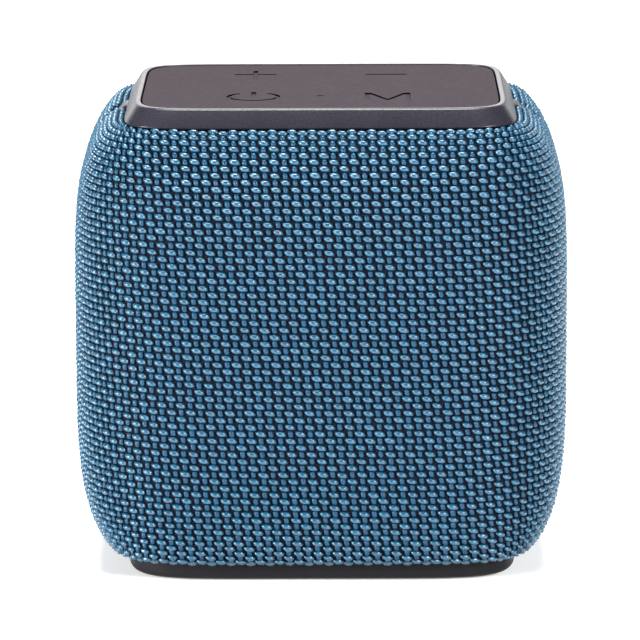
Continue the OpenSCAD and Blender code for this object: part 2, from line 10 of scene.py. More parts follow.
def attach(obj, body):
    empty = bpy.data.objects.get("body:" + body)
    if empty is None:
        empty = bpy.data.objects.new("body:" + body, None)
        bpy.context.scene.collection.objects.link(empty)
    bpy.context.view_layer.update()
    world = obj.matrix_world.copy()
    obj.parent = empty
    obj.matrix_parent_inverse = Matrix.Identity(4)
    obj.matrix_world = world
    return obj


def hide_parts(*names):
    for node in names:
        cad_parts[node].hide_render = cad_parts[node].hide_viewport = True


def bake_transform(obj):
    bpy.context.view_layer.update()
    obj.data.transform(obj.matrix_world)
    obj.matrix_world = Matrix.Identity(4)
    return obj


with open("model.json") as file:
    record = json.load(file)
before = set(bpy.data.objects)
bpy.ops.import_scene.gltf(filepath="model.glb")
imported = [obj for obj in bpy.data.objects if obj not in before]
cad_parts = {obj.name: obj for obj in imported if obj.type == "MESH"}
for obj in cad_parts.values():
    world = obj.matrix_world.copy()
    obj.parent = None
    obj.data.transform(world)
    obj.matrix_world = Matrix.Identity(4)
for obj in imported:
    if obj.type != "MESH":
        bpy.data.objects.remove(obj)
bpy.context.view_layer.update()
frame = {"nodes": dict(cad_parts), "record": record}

# ---------- dimensions, in millimetres ----------

# The speaker stands on z = 0 and faces -Y. The values are the CAD model's, apart from three that follow
# the object's look more closely: the bezel's corners are squarer, the strap bars are wider and 1.1 mm
# higher, and two marks lie nearer the rear.

MM = 0.001
HALF_W, HALF_D, BODY_H = 46.1, 40.2, 88.6
BELLY_Z, SHOULDER_H, FOOT_H = 43.5, 46.8, 45.9
SHOULDER_POWER, FOOT_POWER = 4.75, 4.5
CORNER_POWER, POWER_GROWTH = 3.8, 0.27
PANEL_A, PANEL_B, PANEL_POWER = 33.25, 27.35, 8.5
PAD_Z = BODY_H - 0.15
RIM_W, RIM_POWER = 1.2, 8.5
BEZEL_H, BEZEL_OUT, BEZEL_POWER = 3.5, 2.0, 8.5
SKIRT_OUT, SKIRT_T, SKIRT_LOW = RIM_W + BEZEL_OUT - 1.6, 1.0, 79.0
GROOVE = 0.15
BASE_A, BASE_B, BASE_POWER = 36.4, 30.5, 6.2
BASE_LOW, BASE_TOP = 0.25, 5.0
KEY_X, KEY_FRONT_Y, KEY_BACK_Y = 12.5, -12.6, 14.1
LED_Y, LED_R = KEY_FRONT_Y + 0.8, 0.72
LUG_X, LUG_Z, LUG_W = 35.85, 82.7, 6.8
PORT_Z, PORT_W, PORT_H = 17.4, 34.0, 11.0
USB_X, USB_SIZE = -7.0, (4.8, 1.95, 1.6)
JACK_X, JACK_R = 7.0, 3.2
HINGE_Y, HINGE_Z = 38.6, 12.6
FLAP_Y, FLAP_T = 39.2, 1.2
SCREW_PLACES, SCREW_R, SCREW_DEEP = [(x, y) for x in (-28, 28) for y in (-1.5, 23)], 2.2, 2.5

# ---------- materials ----------

RANGE_SOCKETS = ("From Min", "From Max", "To Min", "To Max")


class Look:
    """A Principled material in object coordinates, with helpers that add its texture nodes."""

    def __init__(self, name, colour, roughness, metallic=0.0, specular=0.5, **sockets):
        self.material = bpy.data.materials.new(name)
        self.material.use_nodes = True
        self.tree = self.material.node_tree
        self.shader = self.tree.nodes["Principled BSDF"]
        self.colour = colour
        self.set(roughness=roughness, metallic=metallic, specular_ior_level=specular, **sockets)
        self.set(base_color=(*colour, 1))
        self.height = None

    def set(self, **sockets):
        """Constants on the shader's own sockets, by their names in lower case."""
        for name, value in sockets.items():
            label = name.replace("_", " ").title().replace("Ior", "IOR")
            self.shader.inputs[label].default_value = value

    def node(self, kind, **settings):
        made = self.tree.nodes.new("ShaderNode" + kind)
        for name, value in settings.items():
            setattr(made, name, value)
        return made

    def link(self, source, target):
        self.tree.links.new(source, target)

    def coordinates(self, stretch):
        """Object coordinates, scaled by stretch."""
        place = self.node("TexCoord").outputs["Object"]
        scaled = self.node("Mapping")
        scaled.inputs["Scale"].default_value = stretch
        self.link(place, scaled.inputs["Vector"])
        return scaled.outputs["Vector"]

    def noise(self, size_mm, detail=3.0, stretch=(1, 1, 1)):
        """A noise value whose features are about size_mm across."""
        made = self.node("TexNoise")
        made.inputs["Scale"].default_value = 1 / (size_mm * MM)
        made.inputs["Detail"].default_value = detail
        self.link(self.coordinates(stretch), made.inputs["Vector"])
        return made.outputs["Fac"]

    def ranged(self, value, low, high, start=0.3, end=0.7):
        """value between start and end, mapped to low to high."""
        made = self.node("MapRange")
        for name, number in zip(RANGE_SOCKETS, (start, end, low, high)):
            made.inputs[name].default_value = number
        self.link(value, made.inputs["Value"])
        return made.outputs["Result"]

    def vary_colour(self, value, dark, light):
        """Base colour times dark where value is low and times light where it is high."""
        ramp = self.node("ValToRGB")
        for element, place, share in zip(ramp.color_ramp.elements, (0.3, 0.7), (dark, light)):
            element.position = place
            element.color = (*(min(1.0, c * share) for c in self.colour), 1)
        self.link(value, ramp.inputs["Fac"])
        self.link(ramp.outputs["Color"], self.shader.inputs["Base Color"])

    def vary_roughness(self, value, low, high):
        self.link(self.ranged(value, low, high), self.shader.inputs["Roughness"])

    def bump(self, value, depth_mm):
        """Adds value as a height of depth_mm to the surface's normal."""
        made = self.node("Bump")
        made.inputs["Strength"].default_value = 1
        made.inputs["Distance"].default_value = depth_mm * MM
        self.link(value, made.inputs["Height"])
        if self.height is not None:
            self.link(self.height, made.inputs["Normal"])
        self.height = made.outputs["Normal"]
        self.link(self.height, self.shader.inputs["Normal"])


def moulded(name, colour, roughness, grain_mm=0.28, grain_depth=0.012, **sockets):
    """Moulded plastic with a spark-eroded grain and faint flow marks."""
    look = Look(name, colour, roughness, **sockets)
    flow = look.noise(9, 2, (1, 1, 0.4))
    grain = look.noise(grain_mm, 2)
    look.vary_colour(flow, 0.92, 1.08)
    look.vary_roughness(grain, roughness - 0.05, roughness + 0.06)
    look.bump(grain, grain_depth)
    return look.material


def soft_rubber(name, colour, roughness=0.6, grain_depth=0.01, specular=0.4):
    """Silicone or rubber: matt, faintly dusty, with a very fine grain."""
    look = Look(name, colour, roughness, specular=specular)
    dust = look.noise(3.5, 5)
    look.vary_colour(dust, 0.93, 1.1)
    look.vary_roughness(look.noise(0.9, 4), roughness - 0.05, roughness + 0.07)
    look.bump(look.noise(0.22, 2), grain_depth)
    return look.material


def metal(name, colour, roughness, brushed=(1, 1, 1)):
    """Plated or drawn metal with marks along one axis."""
    look = Look(name, colour, roughness, metallic=1.0)
    marks = look.noise(0.5, 4, brushed)
    look.vary_colour(look.noise(4, 3), 0.85, 1.05)
    look.vary_roughness(marks, roughness - 0.08, roughness + 0.12)
    look.bump(marks, 0.006)
    return look.material


def coated(name, colour, roughness, spot_mm, contrast, bump_mm=0.01):
    """Any other finish: a colour broken up by spots of one size."""
    look = Look(name, colour, roughness)
    spots = look.noise(spot_mm, 4)
    look.vary_colour(spots, 1 - contrast, 1 + contrast)
    look.vary_roughness(spots, max(0.05, roughness - 0.08), roughness + 0.1)
    look.bump(spots, bump_mm)
    return look.material


def yarn_look(name, colour, specular):
    """Satin polyester yarn. Its attributes are along, across and a number of its own for each float."""
    look = Look(name, colour, 0.3, specular=specular, specular_tint=(0.85, 0.96, 1, 1))
    place = look.node("Attribute", attribute_name="yarn").outputs["Vector"]
    lift = look.node("Attribute", attribute_name="lift").outputs["Fac"]
    stretched = look.node("VectorMath", operation="MULTIPLY")
    stretched.inputs[1].default_value = (0.8, 8, 9)
    look.link(place, stretched.inputs[0])
    fibres = look.node("TexNoise")
    fibres.inputs["Scale"].default_value = 1
    fibres.inputs["Detail"].default_value = 3
    look.link(stretched.outputs["Vector"], fibres.inputs["Vector"])
    each = look.node("SeparateXYZ")
    look.link(place, each.inputs["Vector"])
    look.vary_colour(fibres.outputs["Fac"], 0.94, 1.08)
    own = look.node("HueSaturation")
    look.link(look.shader.inputs["Base Color"].links[0].from_socket, own.inputs["Color"])
    look.link(look.ranged(each.outputs["Z"], 0.88, 1.14, 0, 1), own.inputs["Value"])
    # a Mix node's colours are its inputs 6 and 7 and its output 2
    painted_shade_mix = look.node("Mix", data_type="RGBA", blend_type="MULTIPLY")
    painted_shade_mix.inputs["Factor"].default_value = 1
    look.link(own.outputs["Color"], painted_shade_mix.inputs[6])
    # painted shade and painted highlight: the ramp on lift makes each float near black at its root, where
    # shade falls, and darkens its crown, so the bright band between reads as a lit rim
    root = look.node("ValToRGB")
    root.color_ramp.elements[0].color = (0.03, 0.03, 0.05, 1)
    root.color_ramp.elements[1].position = 0.66
    root.color_ramp.elements.new(0.36).color = (0.4, 0.42, 0.46, 1)
    root.color_ramp.elements.new(1.0).color = (0.38, 0.42, 0.5, 1)
    look.link(lift, root.inputs["Fac"])
    look.link(root.outputs["Color"], painted_shade_mix.inputs[7])
    look.link(painted_shade_mix.outputs[2], look.shader.inputs["Base Color"])
    look.vary_roughness(fibres.outputs["Fac"], 0.25, 0.34)
    look.bump(fibres.outputs["Fac"], 0.003)
    return look.material


def ground_and_gap_shade_look():
    """The navy backing yarn between the floats. Its near-black colour is partly the backing's own and partly
    painted shade for the gaps between the floats.
    """
    look = Look("ground", (0.004, 0.004, 0.009), 0.85, specular=0.1)
    look.vary_colour(look.noise(0.35, 3), 0.5, 1.6)
    look.bump(look.noise(0.2, 3), 0.06)
    return look.material


YARNS = {
    "weft": yarn_look("weft_yarn", (0.007, 0.074, 0.136), 0.85),
    "warp": yarn_look("warp_yarn", (0.005, 0.052, 0.104), 0.35),
}
GROUND_AND_GAP_SHADE = ground_and_gap_shade_look()
BEZEL = moulded("bezel", (0.014, 0.013, 0.019), 0.28, grain_depth=0.003, specular=0.32)
KEYPAD = soft_rubber("keypad", (0.029, 0.0225, 0.027), 0.72, 0.003, 0.06)
# near black: painted shade for the upright walls of the engraved marks
ENGRAVING_SHADE = soft_rubber("engraving_shade", (0.001, 0.001, 0.001), 0.8, 0.004, 0.05)
BASE = moulded("base", (0.008, 0.0072, 0.009), 0.5, specular=0.12)
RUBBER = soft_rubber("rubber", (0.012, 0.012, 0.014), 0.6)
LENS = soft_rubber("lens", (0.004, 0.004, 0.005), 0.7, 0.002, 0.05)
SLOT_LOOKS = {
    "fabric": GROUND_AND_GAP_SHADE,
    "sleeve_plastic": moulded("sleeve_plastic", (0.02, 0.02, 0.024), 0.55),
    "bezel_plastic": BEZEL,
    "key_silicone": KEYPAD,
    "base_plastic": BASE,
    "foot_rubber": RUBBER,
    "soft_foam": coated("foam", (0.02, 0.02, 0.022), 0.9, 0.5, 0.4, 0.15),
    "suspension_rubber": soft_rubber("suspension", (0.014, 0.014, 0.015), 0.45),
    "cone_paper": coated("cone_paper", (0.03, 0.03, 0.032), 0.8, 0.7, 0.3, 0.05),
    "spider_cloth": coated("spider_cloth", (0.45, 0.3, 0.12), 0.8, 0.3, 0.25, 0.06),
    "coil_copper": metal("copper", (0.7, 0.3, 0.14), 0.3, (1, 6, 1)),
    "zinc_steel": metal("zinc", (0.6, 0.61, 0.63), 0.32, (1, 1, 5)),
    "ferrite": coated("ferrite", (0.05, 0.05, 0.052), 0.6, 0.4, 0.2, 0.03),
    "circuit_board": coated("circuit_board", (0.015, 0.13, 0.05), 0.3, 1.4, 0.35, 0.02),
    "chip_black": moulded("chip_black", (0.018, 0.018, 0.02), 0.5, 0.15),
    "connector_plastic": moulded("connector_plastic", (0.7, 0.64, 0.52), 0.45),
    "cell_wrap": coated("cell_wrap", (0.02, 0.12, 0.4), 0.25, 6, 0.1),
    "lead_insulation": coated("lead_insulation", (0.35, 0.02, 0.02), 0.45, 1.2, 0.15),
    "ribbon_film": coated("ribbon_film", (0.65, 0.67, 0.69), 0.35, 1, 0.1),
    "light_pipe": LENS,
    "led_package": coated("led_package", (0.8, 0.8, 0.74), 0.4, 0.5, 0.1),
}

# ---------- mesh helpers ----------


def add_object(name, data):
    made = bpy.data.objects.new(name, data)
    bpy.context.scene.collection.objects.link(made)
    return made


def mesh_object(name, points, faces, material, sharp=30, outward=True):
    """An object from points in millimetres, smooth apart from edges sharper than sharp degrees."""
    mesh = bpy.data.meshes.new(name)
    mesh.from_pydata((np.asarray(points) * MM).tolist(), [], [list(map(int, f)) for f in faces])
    if outward:
        work = bmesh.new()
        work.from_mesh(mesh)
        bmesh.ops.recalc_face_normals(work, faces=work.faces)
        work.to_mesh(mesh)
        work.free()
    finish_mesh(mesh, material, sharp)
    return add_object(name, mesh)


def finish_mesh(mesh, material, sharp):
    mesh.materials.clear()
    mesh.materials.append(material)
    mesh.polygons.foreach_set("use_smooth", [True] * len(mesh.polygons))
    mesh.set_sharp_from_angle(angle=math.radians(sharp))
    mesh.update()


OUTLINE_POINTS = 256


def superellipse(a, b, power):
    """Points round a superellipse, evenly spaced along it."""
    t = np.linspace(0, 1, 4 * OUTLINE_POINTS + 1)
    angle = 2 * math.pi * t - np.sin(8 * math.pi * t) / 4
    c, s = np.cos(angle), np.sin(angle)
    x = a * np.sign(c) * np.abs(c) ** (2 / power)
    y = b * np.sign(s) * np.abs(s) ** (2 / power)
    along = np.concatenate([[0], np.cumsum(np.hypot(np.diff(x), np.diff(y)))])
    want = np.linspace(0, along[-1], OUTLINE_POINTS, endpoint=False)
    return np.column_stack([np.interp(want, along, x), np.interp(want, along, y)])


def round_rect(a, b, radius, steps=8):
    """Points round a rectangle of half-sizes a and b with rounded corners."""
    points = []
    for k, (sx, sy) in enumerate([(1, 1), (-1, 1), (-1, -1), (1, -1)]):
        for i in range(steps + 1):
            angle = math.radians(90 * (k + i / steps))
            x = sx * (a - radius) + radius * math.cos(angle)
            y = sy * (b - radius) + radius * math.sin(angle)
            points.append((x, y))
    return np.array(points)


def fillet(corners, steps=5):
    """A polyline through corners (u, v, radius), each corner rounded by its radius."""
    points = []
    for i, (u, v, radius) in enumerate(corners):
        here = np.array([u, v])
        if radius == 0 or i in (0, len(corners) - 1):
            points.append(here)
            continue
        before = np.array(corners[i - 1][:2]) - here
        after = np.array(corners[i + 1][:2]) - here
        before, after = before / np.linalg.norm(before), after / np.linalg.norm(after)
        half = math.acos(np.clip(before @ after, -1, 1)) / 2
        reach = radius / math.tan(half)
        centre = here + (before + after) / np.linalg.norm(before + after) * radius / math.sin(half)
        start, end = here + before * reach - centre, here + after * reach - centre
        turn = math.pi - 2 * half
        for k in range(steps + 1):
            w = k / steps
            mix = (math.sin((1 - w) * turn) * start + math.sin(w * turn) * end) / math.sin(turn)
            points.append(centre + mix)
    return np.array(points)


def loft(name, rings, material, closed=False, sharp=30):
    """Rings of equal length joined in order. An open loft is capped, a closed one meets itself."""
    count = len(rings[0])
    points = np.concatenate(rings)
    faces = []
    last = len(rings) if closed else len(rings) - 1
    for r in range(last):
        low, high = r * count, (r + 1) % len(rings) * count
        for i in range(count):
            n = (i + 1) % count
            faces.append([low + i, low + n, high + n, high + i])
    if not closed:
        faces.append(list(range(count))[::-1])
        faces.append([(len(rings) - 1) * count + i for i in range(count)])
    return mesh_object(name, points, faces, material, sharp)


def at_height(outline, z):
    return np.column_stack([outline, np.full(len(outline), z)])


def facing_rear(outline, y):
    """An outline in (x, z) at depth y."""
    return np.column_stack([outline[:, 0], np.full(len(outline), y), outline[:, 1]])


def prism(outline, z0, z1):
    """A cutting tool: an outline between two heights."""
    return loft("cutter", [at_height(outline, z0), at_height(outline, z1)], ENGRAVING_SHADE)


def rear_prism(outline, y0, y1):
    return loft("cutter", [facing_rear(outline, y0), facing_rear(outline, y1)], ENGRAVING_SHADE)


def cut(piece, tools, sharp=9):
    """Takes the tools' shapes out of piece and removes the tools."""
    for tool in tools:
        change = piece.modifiers.new("cut", "BOOLEAN")
        change.operation, change.solver, change.object = "DIFFERENCE", "EXACT", tool
    done = piece.evaluated_get(bpy.context.evaluated_depsgraph_get())
    mesh = bpy.data.meshes.new_from_object(done)
    piece.modifiers.clear()
    material = piece.data.materials[0]
    piece.data = mesh
    for tool in tools:
        bpy.data.objects.remove(tool)
    finish_mesh(mesh, material, sharp)


def ride_and_replace(piece, body, slot, *nodes):
    """piece moves with body and stands in for the CAD nodes, if any; slot is not used."""
    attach(piece, body)
    if nodes:
        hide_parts(*nodes)


# ---------- the sleeve's surface ----------

TOP_JOIN_IN, TOP_ROLL_Z, TOP_END = 6.6, 85.35, (9.6, 84.8)
LOW_JOIN_IN, LOW_ROLL_Z, LOW_END = 6.0, 3.4, (9.5, 3.75)
PROFILE_STEPS, AROUND_STEPS = 480, 481
RAMP_START, RAMP_END = 0.40, 0.85


def sleeve_profile():
    """(inset, z) down the sleeve in even steps: from under the bezel to under the base."""

    def wall(power, reach, inset_end, sign):
        share = 1 - inset_end / HALF_W
        angle_end = math.acos(share ** (power / 2))
        angle = np.linspace(0, angle_end, 400)
        inset = HALF_W * (1 - np.cos(angle) ** (2 / power))
        return np.column_stack([inset, BELLY_Z + sign * reach * np.sin(angle) ** (2 / power)])

    def roll(start, before, roll_z, end):
        """A quadratic curve that leaves start along the wall and turns level at roll_z."""
        slope = (start - before) / np.linalg.norm(start - before)
        middle = start + slope * (roll_z - start[1]) / slope[1]
        w = np.linspace(0, 1, 40)[1:, None]
        return (1 - w) ** 2 * start + 2 * w * (1 - w) * middle + w**2 * np.array(end)

    up = wall(SHOULDER_POWER, SHOULDER_H, TOP_JOIN_IN, 1)
    down = wall(FOOT_POWER, FOOT_H, LOW_JOIN_IN, -1)
    up_roll = roll(up[-1], up[-2], TOP_ROLL_Z, TOP_END)
    down_roll = roll(down[-1], down[-2], LOW_ROLL_Z, LOW_END)
    path = np.concatenate([up_roll[::-1], up[::-1], down[1:], down_roll])
    along = np.concatenate([[0], np.cumsum(np.linalg.norm(np.diff(path, axis=0), axis=1))])
    even = np.linspace(0, along[-1], PROFILE_STEPS)
    return np.interp(even, along, path[:, 0]), np.interp(even, along, path[:, 1]), along[-1]


PROFILE_IN, PROFILE_Z, PROFILE_LENGTH = sleeve_profile()
BELLY_AT = float(np.interp(-BELLY_Z, -PROFILE_Z, np.linspace(0, PROFILE_LENGTH, PROFILE_STEPS)))


def quarter_outline(inset):
    """x, y and length along a quarter of the body's outline, from the middle of the front to the side."""
    t = np.linspace(0, 1, 900)
    angle = math.pi / 2 * (t - np.sin(2 * math.pi * t) / (2 * math.pi))
    power = CORNER_POWER + POWER_GROWTH * inset
    x = (HALF_W - inset) * np.sin(angle) ** (2 / power)
    y = (HALF_D - inset) * np.cos(angle) ** (2 / power)
    return x, y, np.concatenate([[0], np.cumsum(np.hypot(np.diff(x), np.diff(y)))])


QUARTER = quarter_outline(0)[2][-1]


def sleeve_table():
    """The quarter sleeve's x and y for each profile step and each share of the quarter round it.
    The columns of the cloth stay evenly spaced on the flats and close up round the corners."""
    table = np.zeros((PROFILE_STEPS, AROUND_STEPS, 2))
    u = np.linspace(0, 1, AROUND_STEPS)
    ramp = np.clip((u - RAMP_START) / (RAMP_END - RAMP_START), 0, 1)
    ramp = ramp * ramp * (3 - 2 * ramp)
    for row, inset in enumerate(PROFILE_IN):
        x, y, along = quarter_outline(inset)
        want = u * QUARTER - (QUARTER - along[-1]) * ramp
        table[row, :, 0] = np.interp(want, along, x)
        table[row, :, 1] = np.interp(want, along, y)
    return table


SLEEVE = sleeve_table()


def sleeve_point(t, p):
    """Points of the sleeve: t is mm round the belly from the front's middle, p is mm down the profile."""
    turn = t / QUARTER
    quarter = np.floor(turn).astype(int) % 4
    local = turn - np.floor(turn)
    share = np.where(quarter % 2 == 1, 1 - local, local) * (AROUND_STEPS - 1)
    down = np.clip(p / PROFILE_LENGTH, 0, 1) * (PROFILE_STEPS - 1)
    c = np.minimum(share.astype(int), AROUND_STEPS - 2)
    r = np.minimum(down.astype(int), PROFILE_STEPS - 2)
    fc, fr = (share - c)[..., None], (down - r)[..., None]
    xy = (SLEEVE[r, c] * (1 - fc) + SLEEVE[r, c + 1] * fc) * (1 - fr)
    xy = xy + (SLEEVE[r + 1, c] * (1 - fc) + SLEEVE[r + 1, c + 1] * fc) * fr
    z = PROFILE_Z[r] * (1 - fr[..., 0]) + PROFILE_Z[r + 1] * fr[..., 0]
    x = xy[..., 0] * np.where(quarter < 2, 1, -1)
    y = xy[..., 1] * np.where((quarter == 0) | (quarter == 3), -1, 1)
    return np.stack([x, y, z], axis=-1)


def sleeve_surface(t, p):
    """Points of the sleeve with their outward normals."""
    reach = 0.25
    point = sleeve_point(t, p)
    round_it = sleeve_point(t + reach, p) - sleeve_point(t - reach, p)
    down_it = sleeve_point(t, p + reach) - sleeve_point(t, p - reach)
    normal = np.cross(down_it, round_it)
    return point, normal / np.maximum(np.linalg.norm(normal, axis=-1, keepdims=True), 1e-9)


def outside_round_rect(u, v, a, b, radius):
    """Distance of (u, v) outside a rounded rectangle, negative inside."""
    du, dv = np.abs(u) - a + radius, np.abs(v) - b + radius
    return np.hypot(np.maximum(du, 0), np.maximum(dv, 0)) + np.minimum(np.maximum(du, dv), 0) - radius


# openings in the cloth, as half-sizes and corner radius; a strap bar's starts with its middle's x
STRAP_HOLE, STRAP_ABOVE = (LUG_X + 1.0, 4.1, 2.2, 0.8), BODY_H - 12
PORT_HOLE = (PORT_W / 2 + 2.5, PORT_H / 2 + 2.5, 4.0)


def outside_holes(point):
    """Distance from the nearest opening in the cloth, negative inside it."""
    far = 99
    x, y, z = point[..., 0], point[..., 1], point[..., 2]
    port = np.where(y > 0, outside_round_rect(x, z - PORT_Z, *PORT_HOLE), far)
    middle, reach, half, radius = STRAP_HOLE
    strap = outside_round_rect(np.abs(x) - middle, y, reach, half, radius)
    return np.minimum(port, np.where(z > STRAP_ABOVE, strap, far))


def tucked(point, normal, lift):
    """Points lifted off the sleeve, but drawn in near an opening, where the cloth is tucked under."""
    tuck_width, tuck_depth = 1.5, 1.3
    near = np.clip(1 - outside_holes(point) / tuck_width, 0, 1)
    return point + normal * (lift - tuck_depth * near**2)[..., None]


# ---------- cloth ----------

ABOUT_COLUMN, ABOUT_ROW = 1.81, 1.30
COLUMNS = 2 * round(4 * QUARTER / ABOUT_COLUMN / 2)
COLUMN_PITCH = 4 * QUARTER / COLUMNS
ROWS = round(PROFILE_LENGTH / ABOUT_ROW)
ROW_PITCH = PROFILE_LENGTH / ROWS
LEAN = 0.055              # sideways shift of the columns per mm down the sleeve
GROUND_DEPTH = 0.56       # the backing lies this far below the sleeve's surface
SIDES = ("front", "right", "rear", "left")
# a float's half length, half width, squareness, shear and height
FLOATS = {"weft": (0.98, 0.58, 2.8, 0.5, 0.84), "warp": (0.5, 0.69, 3.0, 0.12, 0.58)}
OPEN_MARGIN = 0.35        # a float's middle keeps this far from an opening
SPREAD = 0.03             # of the floats' places, in mm, and of their sizes
FLOAT_SIDES = 12
# rings up a float, as (share of its outline, share of its height)
FLOAT_RINGS = [(1.0, -0.3), (0.96, 0.26), (0.84, 0.6), (0.55, 0.88)]


def build_ground():
    """The backing cloth: one open sheet with its openings cut out."""
    around, down = 2 * COLUMNS, 2 * ROWS
    rows, columns = np.linspace(0, PROFILE_LENGTH, down + 1), np.arange(around) * COLUMN_PITCH / 2
    p, t = np.meshgrid(rows, columns, indexing="ij")
    point, normal = sleeve_surface(t, p)
    gap = outside_holes(point)
    points = tucked(point, normal, np.full(gap.shape, -GROUND_DEPTH)).reshape(-1, 3)
    index = np.arange(points.shape[0]).reshape(down + 1, around)
    right = np.roll(index, -1, axis=1)
    quads = np.stack([index[:-1], index[1:], right[1:], right[:-1]], axis=-1).reshape(-1, 4)
    overlap = 0.05
    kept = quads[(gap.reshape(-1)[quads] > -overlap).all(axis=1)]
    used, kept = np.unique(kept, return_inverse=True)
    return mesh_object("fabric_ground", points[used], kept.reshape(-1, 4), GROUND_AND_GAP_SHADE, 180, outward=False)


def float_shape(half_long, half_wide, power, shear, height):
    """A yarn's domed float, as points (u, v, lift, share of height)."""
    angle = 2 * math.pi * (np.arange(FLOAT_SIDES) + 0.5) / FLOAT_SIDES
    c, s = np.cos(angle), np.sin(angle)
    u = half_long * np.sign(c) * np.abs(c) ** (2 / power)
    v = half_wide * np.sign(s) * np.abs(s) ** (2 / power)
    shape = []
    for k, h in FLOAT_RINGS:
        level = np.tile([h * height, max(h, 0)], (FLOAT_SIDES, 1))
        shape.append(np.column_stack([u * k + shear * v * k, v * k, level]))
    return np.concatenate(shape + [np.array([[0, 0, height, 1]])])


def float_faces():
    """The faces of one float, as point numbers: between its rings, up to its tip and underneath."""
    faces = []
    top = (len(FLOAT_RINGS) - 1) * FLOAT_SIDES
    for low in range(0, top, FLOAT_SIDES):
        high = low + FLOAT_SIDES
        for i in range(FLOAT_SIDES):
            n = (i + 1) % FLOAT_SIDES
            faces.append([low + i, high + i, high + n, low + n])
    tip = top + FLOAT_SIDES
    faces += [[top + i, tip, top + (i + 1) % FLOAT_SIDES] for i in range(FLOAT_SIDES)]
    faces.append(list(range(FLOAT_SIDES)))
    return faces


def build_floats(name, kind, columns, rows, rng):
    """All the floats of one kind on one side, as one piece."""
    shape = float_shape(*FLOATS[kind])
    own = rng.random(len(columns))
    p0 = (rows + 0.5) * ROW_PITCH
    t0 = (columns + 0.5) * COLUMN_PITCH + LEAN * (p0 - BELLY_AT)
    centre = sleeve_point(t0, p0)
    kept = outside_holes(centre) > OPEN_MARGIN
    t0, p0, own = t0[kept], p0[kept], own[kept]
    wobble = rng.normal(0, SPREAD, (len(t0), 2))
    size = 1 + rng.normal(0, SPREAD, len(t0))
    t = t0[:, None] + wobble[:, :1] + shape[None, :, 0] * size[:, None]
    p = p0[:, None] + wobble[:, 1:] + shape[None, :, 1] * size[:, None]
    point, normal = sleeve_surface(t, p)
    lift = -GROUND_DEPTH + shape[None, :, 2] * size[:, None]
    points = tucked(point, normal, lift).reshape(-1, 3)
    each = len(shape)
    faces = float_faces()
    loops = np.concatenate(faces)
    sizes = np.array([len(f) for f in faces])
    starts = np.concatenate([[0], np.cumsum(sizes)[:-1]])
    floats = len(t0)
    all_loops = (loops[None, :] + each * np.arange(floats)[:, None]).reshape(-1)
    all_starts = (starts[None, :] + len(loops) * np.arange(floats)[:, None]).reshape(-1)
    mesh = bpy.data.meshes.new(name)
    mesh.vertices.add(len(points))
    mesh.vertices.foreach_set("co", (points * MM).astype(np.float32).reshape(-1))
    mesh.loops.add(len(all_loops))
    mesh.loops.foreach_set("vertex_index", all_loops.astype(np.int32))
    mesh.polygons.add(len(all_starts))
    mesh.polygons.foreach_set("loop_start", all_starts.astype(np.int32))
    mesh.update(calc_edges=True)
    mesh.materials.append(YARNS[kind])
    mesh.polygons.foreach_set("use_smooth", [True] * len(mesh.polygons))
    along, across = (0, 1) if kind == "weft" else (1, 0)
    place = np.stack([
        np.broadcast_to(shape[None, :, along], (floats, each)),
        np.broadcast_to(shape[None, :, across], (floats, each)),
        np.broadcast_to(own[:, None], (floats, each)),
    ], axis=-1)
    yarn = mesh.attributes.new("yarn", "FLOAT_VECTOR", "POINT")
    yarn.data.foreach_set("vector", place.astype(np.float32).reshape(-1))
    rise = mesh.attributes.new("lift", "FLOAT", "POINT")
    rise.data.foreach_set("value", np.tile(shape[:, 3], floats).astype(np.float32))
    return add_object(name, mesh)


def build_cloth():
    """Backing and floats of a plain weave whose weft floats are wide and warp floats narrow."""
    rng = np.random.default_rng(7)
    ground = build_ground()
    pieces = []
    columns = np.arange(COLUMNS) - COLUMNS // 8
    for label, part in zip(SIDES, np.array_split(columns, 4)):
        column, row = np.meshgrid(part, np.arange(ROWS))
        column, row = column.reshape(-1), row.reshape(-1)
        even = (column + row) % 2 == 0
        for kind, chosen in (("weft", even), ("warp", ~even)):
            pieces.append(build_floats(f"{kind}_yarn_{label}", kind, column[chosen], row[chosen], rng))
    for piece in pieces:
        ride_and_replace(piece, "root", "fabric")
    ride_and_replace(ground, "root", "fabric", "fabric_sleeve")


# ---------- top: bezel, key pad, strap bars ----------


def build_bezel():
    """Ring round the key pad: a narrow flat rim, a slope down to the cloth and a skirt inside it."""
    foot_z = BODY_H - BEZEL_H
    section = fillet([
        (GROOVE, BODY_H - 2.0, 0), (GROOVE, BODY_H, 0.12), (RIM_W, BODY_H, 0.6),
        (RIM_W + BEZEL_OUT, foot_z + 0.25, 0.25), (RIM_W + BEZEL_OUT - 0.3, foot_z - 0.05, 0.1),
        (SKIRT_OUT, foot_z - 0.05, 0), (SKIRT_OUT, SKIRT_LOW, 0),
        (SKIRT_OUT - SKIRT_T, SKIRT_LOW, 0), (SKIRT_OUT - SKIRT_T, BODY_H - 2.0, 0),
    ])
    rings = []
    for out, z in section:
        power = np.interp(out, (0, RIM_W, RIM_W + BEZEL_OUT), (PANEL_POWER, RIM_POWER, BEZEL_POWER))
        rings.append(at_height(superellipse(PANEL_A + out, PANEL_B + out, power), z))
    bezel = loft("bezel_ring", rings, BEZEL, closed=True, sharp=40)
    ride_and_replace(bezel, "root", "bezel_plastic", "top_bezel")


KEY_HALF, ZONE_HALF, PAD_T = 6.0, 9.0, 0.6
ENGRAVE_DEPTH = 0.3
KEYS = {
    "power": (-KEY_X, KEY_FRONT_Y), "mode": (KEY_X, KEY_FRONT_Y),
    "volume_up": (-KEY_X, KEY_BACK_Y), "volume_down": (KEY_X, KEY_BACK_Y),
}
MARK_BACK = {"volume_up": 0.9, "volume_down": 0.9}     # these marks lie behind their key's middle


def bar(x0, x1, y0, y1):
    return [(x0, y0), (x1, y0), (x1, y1), (x0, y1)]


